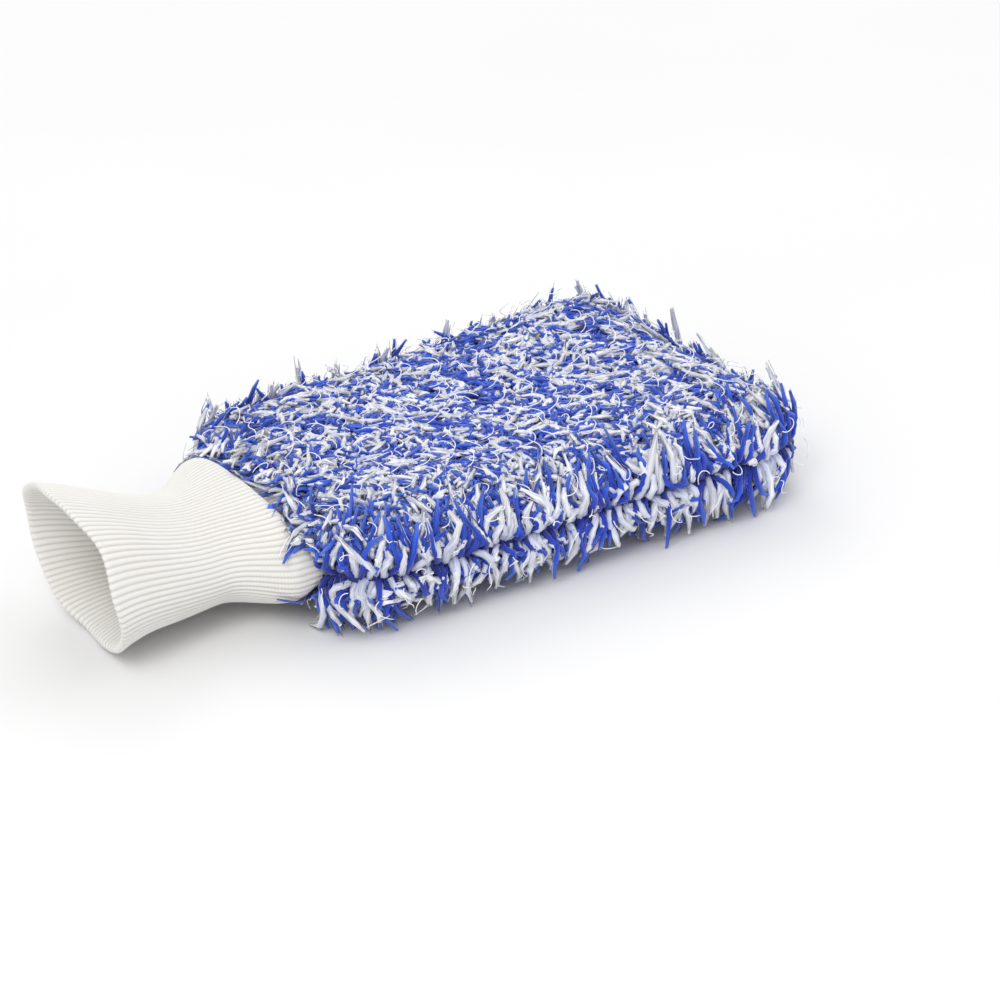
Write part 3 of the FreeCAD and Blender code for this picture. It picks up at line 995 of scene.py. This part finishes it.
    ttt = times(tree, tt, t)
    blunt = sums(tree, "MULTIPLY_ADD", times(tree, tt, ttt), -0.52, 1.0)
    sharp = sums(tree, "MULTIPLY_ADD", ttt, -0.75, 1.0)
    locks = strands(points, 10, 0.0, 0.0, given["Lock Width"], blunt, section(6, 0.22), 0.0)
    extras = put(tree, "GeometryNodeDuplicateElements", {
        "Geometry": points, "Amount": given["Loose Strands"]}, domain="POINT").outputs[0]
    loose = strands(extras, 20, given["Loose Spread"], given["Fray"], given["Loose Width"], sharp,
                    section(3, 0), 0.1, fewer=1.0)
    both = put(tree, "GeometryNodeJoinGeometry")
    for part in (locks, loose):
        tree.links.new(part, both.inputs[0])
    aroundIt = sums(tree, "ADD", stored(tree, "column"), sums(
        tree, "MULTIPLY_ADD", stored(tree, "girth"), 0.9, 0.15))
    u = sums(tree, "DIVIDE", aroundIt, float(pileDyeAndPaintedLight["columns"]))
    v = sums(tree, "MULTIPLY_ADD", stored(tree, "reach"), 0.98, 0.01)
    uv = put(tree, "ShaderNodeCombineXYZ", {0: u, 1: v})
    solid = pointwise(tree, both.outputs[0], "OFBake", uv.outputs[0], "FLOAT2", "CORNER")
    for name in ("tuftNormal", "tuftLean", "tuftLength", "tuftWhite", "tuftShade", "sideness", "nearSeam",
                 "column", "strandSeed", "strandOffset", "strandLength", "root", "reach", "girth"):
        solid = put(tree, "GeometryNodeRemoveAttribute", {"Geometry": solid, "Name": name}).outputs[0]
    solid = put(tree, "GeometryNodeSetShadeSmooth", {"Geometry": solid, "Shade Smooth": True}).outputs[0]
    whole = put(tree, "GeometryNodeRealizeInstances", {"Geometry": solid}).outputs[0]
    finished = put(tree, "GeometryNodeSetMaterial", {"Geometry": whole, "Material": given["Material"]})
    put(tree, "NodeGroupOutput", {0: finished.outputs[0]})
    return tree


def offTheKnit(piece):  # strands that would sink into the knit lie on it, and none goes below the floor
    co = places(piece)
    near = np.where(co[:, 0] < knit["seatX"] + 0.001)[0]
    if len(near):
        uneven = np.sin(co[near, 1] * 1100) * np.sin(co[near, 2] * 700 + 1)
        clearance = 0.0022 + 0.0012 * uneven
        halfWidth, halfHeight, squareness, centre, tilt = knitSection(co[near, 0])
        across = np.abs(co[near, 1]) / (halfWidth + clearance)
        up = np.abs(co[near, 2] - centre) / (halfHeight + clearance)
        reach = (across ** squareness + up ** squareness) ** (1 / squareness)
        push = np.clip(1 / np.maximum(reach, 1e-3), 1, 1.7)
        co[near, 1] *= push
        co[near, 2] = centre + (co[near, 2] - centre) * push
    floor = 0.0004
    co[:, 2] = np.where(co[:, 2] < floor, floor + (floor - co[:, 2]) * 0.05, co[:, 2])
    setPlaces(piece, co)


def makePile(form):
    base = opened(form, "tuftGround", body["pileKnitGap"])
    tree = tuftTree()
    fibre, wisp = strandMaterial(), wispMaterial()
    locks = {titled(key): value for key, value in pile.items()}
    locks.update({"Seam Height": middleZ, "Neck End": knit["seatX"], "Neck Width": knit["rootWidth"] / 2})
    strays = {**locks, **{titled(key): value for key, value in strayThreads.items()}}
    reach = pileHigh.x
    total = 0
    for label, face in pileFaces.items():
        cuts = [-reach + 2 * reach * band / face["bands"] for band in range(face["bands"] + 1)]
        jobs = [(f"{label}Tufts{number}", {**locks, "Material": fibre, "Under Share": face["lockShare"],
                                           "From X": low, "To X": high})
                for number, (low, high) in enumerate(zip(cuts, cuts[1:]), 1)]
        jobs.append((f"{label}StrayThreads", {**strays, "Material": wisp, "Under Share": face["strayShare"],
                                              "From X": -1.0, "To X": 1.0}))
        for name, values in jobs:
            modifier = runTree(base, tree, {**values, "Side": face["side"]})
            tufts = settled(base, name)
            base.modifiers.remove(modifier)
            offTheKnit(tufts)
            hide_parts(f"{label}_pile")
            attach(tufts, "mitt")
            triangles = sum(len(f.vertices) - 2 for f in tufts.data.polygons)
            total += triangles
            print("pile:", name, triangles, "triangles")
    dropped(base)
    print("pile total:", total)


view = {
    "azimuth": -30.0,
    "elevation": 27.0,
    "roll": 4.5,
    "distance": 1.1,
    "lens": 88.0,
    "right": 0.006,
    "down": 0.024,
}


def makeStage():
    material, tree, shader = newMaterial("paleFloor", **{"Roughness": 0.9, "Specular IOR Level": 0.1})
    place = put(tree, "ShaderNodeTexCoord").outputs["Object"]
    cloud = put(tree, "ShaderNodeTexNoise", {"Vector": place, "Scale": 3.0, "Detail": 2.0})
    tree.links.new(ramp(tree, cloud.outputs["Fac"], [(0.3, (0.83, 0.83, 0.83)), (0.7, (0.85, 0.85, 0.85))]),
                   shader.inputs["Base Color"])
    reach = 6.0
    corners = [(-reach, -reach, 0), (reach, -reach, 0), (reach, reach, 0), (-reach, reach, 0)]
    floor = meshPiece("floor", corners, [(0, 1, 2, 3)], smooth=False)
    floor.data.materials.append(material)
    world = bpy.data.worlds.new("studio")
    scene.world = world
    world.use_nodes = True
    world.node_tree.nodes["Background"].inputs[0].default_value = (1.0, 1.0, 1.0, 1)
    world.node_tree.nodes["Background"].inputs[1].default_value = 0.86
    for name, spot, size, power in (
            ("keyLight", (-0.9, -0.9, 1.5), 0.9, 11.5), ("fillLight", (1.4, -0.6, 1.0), 1.2, 3.5),
            ("backLight", (0.3, 1.3, 1.4), 1.0, 5.0)):
        light = bpy.data.lights.new(name, "AREA")
        light.size = size
        light.energy = power
        lamp = bpy.data.objects.new(name, light)
        lamp.location = spot
        lamp.rotation_euler = (Vector((0, 0, 0.02)) - Vector(spot)).to_track_quat("-Z", "Y").to_euler()
        scene.collection.objects.link(lamp)
    scene.view_settings.view_transform = "Standard"


def makeCamera():
    v = view
    turn, rise = math.radians(v["azimuth"]), math.radians(v["elevation"])
    back = Vector((math.sin(turn) * math.cos(rise), -math.cos(turn) * math.cos(rise), math.sin(rise)))
    right = Vector((math.cos(turn), math.sin(turn), 0))
    up = back.cross(right)
    roll = math.radians(v["roll"])
    right, up = right * math.cos(roll) - up * math.sin(roll), up * math.cos(roll) + right * math.sin(roll)
    target = Vector((0, 0, middleZ)) + right * v["right"] - up * v["down"]
    lensData = bpy.data.cameras.new("camera")
    lensData.lens = v["lens"]
    lensData.clip_start = 0.01
    camera = bpy.data.objects.new("camera", lensData)
    camera.matrix_world = Matrix.Translation(target + back * v["distance"]) @ Matrix(
        (right, up, back)).transposed().to_4x4()
    scene.collection.objects.link(camera)
    scene.camera = camera


makeStage()
makeCamera()
makeKnitCuff()
softForm = makeBody()
makeSeams()
makePile(softForm)
dropped(softForm)
